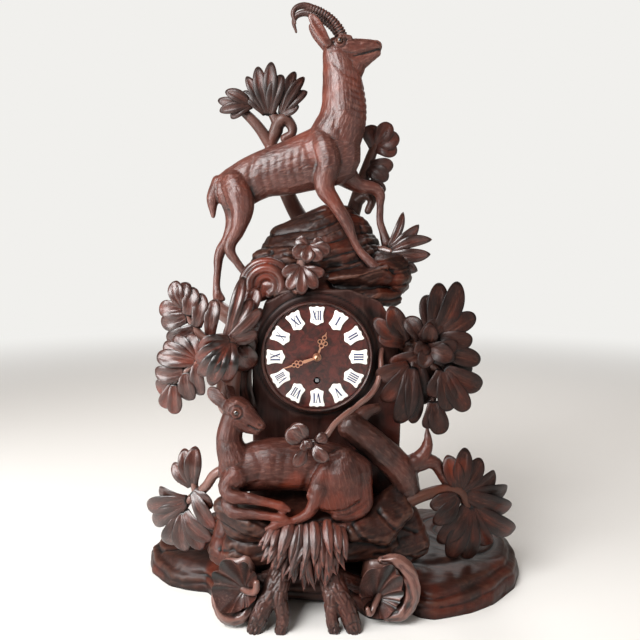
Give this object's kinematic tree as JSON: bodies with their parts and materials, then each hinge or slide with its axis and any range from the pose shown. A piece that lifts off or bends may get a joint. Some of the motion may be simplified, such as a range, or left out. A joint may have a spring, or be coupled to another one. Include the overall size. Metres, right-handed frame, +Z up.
{
  "type": "mantel clock",
  "caption": "Free-standing carved wooden clock with a drum movement, a pendulum, an arched back door and carved animals, rocks and oak leaves around its dial.",
  "frame": {"origin": "on the surface it stands on, straight below the axis of the dial", "axes": "+Z up, -Y towards the viewer of the dial, +X to that viewer's right"},
  "size_m": [0.4102, 0.2398, 0.6013],
  "materials": {
    "carved_wood": "carved, dark stained, soft gloss",
    "dark_wood": "carved, nearly black stain, soft gloss",
    "burl": "polished reddish burl veneer",
    "enamel": "fired white enamel on copper, domed and glossy",
    "gilt": "gilt brass with a rose tone, polished",
    "brass": "lacquered brass",
    "steel": "fine ground steel",
    "glass_eye": "dark glass bead"
  },
  "bodies": {
    "root": {"base_rock": "dark_wood", "root_foot_left": "dark_wood", "root_foot_right": "dark_wood", "curled_leaf_left": "carved_wood", "curled_leaf_right": "carved_wood", "grass_tuft": "carved_wood", "base_leaf_left": "carved_wood", "base_leaf_right": "carved_wood", "deer_ledge": "carved_wood", "reclining_deer": "carved_wood", "deer_eyes": "glass_eye", "clover_sprig": "carved_wood", "broken_bough": "dark_wood", "clock_case": "dark_wood", "summit_rock": "dark_wood", "standing_chamois": "carved_wood", "chamois_horns": "dark_wood", "chamois_eyes": "glass_eye", "oak_branch_back": "dark_wood", "oak_spray_right": "dark_wood", "fan_leaf": "dark_wood", "fern_curl": "carved_wood", "summit_leaves": "carved_wood", "oak_cluster_left": "carved_wood", "oak_cluster_right": "carved_wood", "dial_bezel": "dark_wood", "dial_plate": "burl", "numeral_cartouches": "enamel", "dial_feet": "brass", "front_plate": "brass", "back_plate": "brass", "plate_pillars": "brass", "click_spring": "steel", "pendulum_cock": "brass", "movement_straps": "brass", "movement_screws": "steel", "case_hinge_leaves": "brass", "hinge_pins": "brass", "button_screw": "steel"},
    "minute": {"minute_hand": "gilt", "hand_nut": "brass", "cannon_pinion": "brass"},
    "minute_wheel": {"minute_wheel": "brass"},
    "hour": {"hour_wheel": "brass", "hour_hand": "gilt"},
    "barrel": {"mainspring_barrel": "brass", "barrel_cap": "brass", "mainspring": "steel"},
    "winding": {"winding_arbor": "steel", "ratchet_wheel": "steel"},
    "click": {"click": "steel"},
    "centre": {"centre_wheel": "brass"},
    "third": {"third_wheel": "brass"},
    "escape": {"escape_wheel": "brass"},
    "pallets": {"pallet_anchor": "steel"},
    "pendulum": {"pendulum": "brass"},
    "rating_nut": {"rating_nut": "brass"},
    "door": {"back_door": "carved_wood", "door_hinge_leaves": "brass"},
    "button": {"turn_button": "brass"}
  },
  "joints": [
    {"name": "minute_hand_turn", "type": "hinge", "parent": "root", "child": "minute", "pos_m": [0, 0, 0.246], "axis": [0, 1, 0], "continuous": true},
    {"name": "minute_wheel_turn", "type": "hinge", "parent": "root", "child": "minute_wheel", "pos_m": [-0.00848, 0, 0.25449], "axis": [0, 1, 0], "continuous": true},
    {"name": "hour_hand_turn", "type": "hinge", "parent": "root", "child": "hour", "pos_m": [0, 0, 0.246], "axis": [0, 1, 0], "continuous": true},
    {"name": "third_wheel_turn", "type": "hinge", "parent": "root", "child": "third", "pos_m": [0.01172, 0, 0.25993], "axis": [0, 1, 0], "continuous": true},
    {"name": "centre_wheel_turn", "type": "hinge", "parent": "root", "child": "centre", "pos_m": [0, 0, 0.246], "axis": [0, 1, 0], "continuous": true},
    {"name": "barrel_turn", "type": "hinge", "parent": "root", "child": "barrel", "pos_m": [0, 0, 0.222], "axis": [0, 1, 0], "continuous": true},
    {"name": "escape_wheel_turn", "type": "hinge", "parent": "root", "child": "escape", "pos_m": [0, 0, 0.266], "axis": [0, 1, 0], "continuous": true},
    {"name": "winding_turn", "type": "hinge", "parent": "root", "child": "winding", "pos_m": [0, 0, 0.222], "axis": [0, 1, 0], "continuous": true},
    {"name": "click_lift", "type": "hinge", "parent": "root", "child": "click", "pos_m": [0.0126, 0, 0.2294], "axis": [0, 1, 0], "range_deg": [0, 12], "stiffness_Nm_per_rad": 0.01, "springref_deg": -5.73, "deforming": ["click_spring"]},
    {"name": "pendulum_swing", "type": "hinge", "parent": "root", "child": "pendulum", "pos_m": [0, 0, 0.279], "axis": [0, 1, 0], "range_deg": [-3, 3]},
    {"name": "pallet_swing", "type": "hinge", "parent": "root", "child": "pallets", "pos_m": [0, 0, 0.279], "axis": [0, 1, 0], "range_deg": [-3, 3]},
    {"name": "rating_nut_turn", "type": "hinge", "parent": "pendulum", "child": "rating_nut", "pos_m": [0, -0.01, 0.115], "axis": [0, 0, 1], "continuous": true},
    {"name": "door_swing", "type": "hinge", "parent": "root", "child": "door", "pos_m": [-0.067, 0.0662, 0.2], "axis": [0, 0, 1], "range_deg": [0, 110]},
    {"name": "button_turn", "type": "hinge", "parent": "root", "child": "button", "pos_m": [0.07, 0.07, 0.18], "axis": [0, -1, 0], "range_deg": [0, 90]}
  ],
  "couplings": [
    {"joint": "minute_wheel_turn", "follows": "minute_hand_turn", "ratio": -0.33333},
    {"joint": "hour_hand_turn", "follows": "minute_hand_turn", "ratio": 0.083333},
    {"joint": "centre_wheel_turn", "follows": "third_wheel_turn", "ratio": -0.083333},
    {"joint": "barrel_turn", "follows": "third_wheel_turn", "ratio": 0.011905},
    {"joint": "escape_wheel_turn", "follows": "third_wheel_turn", "ratio": -10},
    {"joint": "pallet_swing", "follows": "pendulum_swing", "ratio": 1}
  ]
}
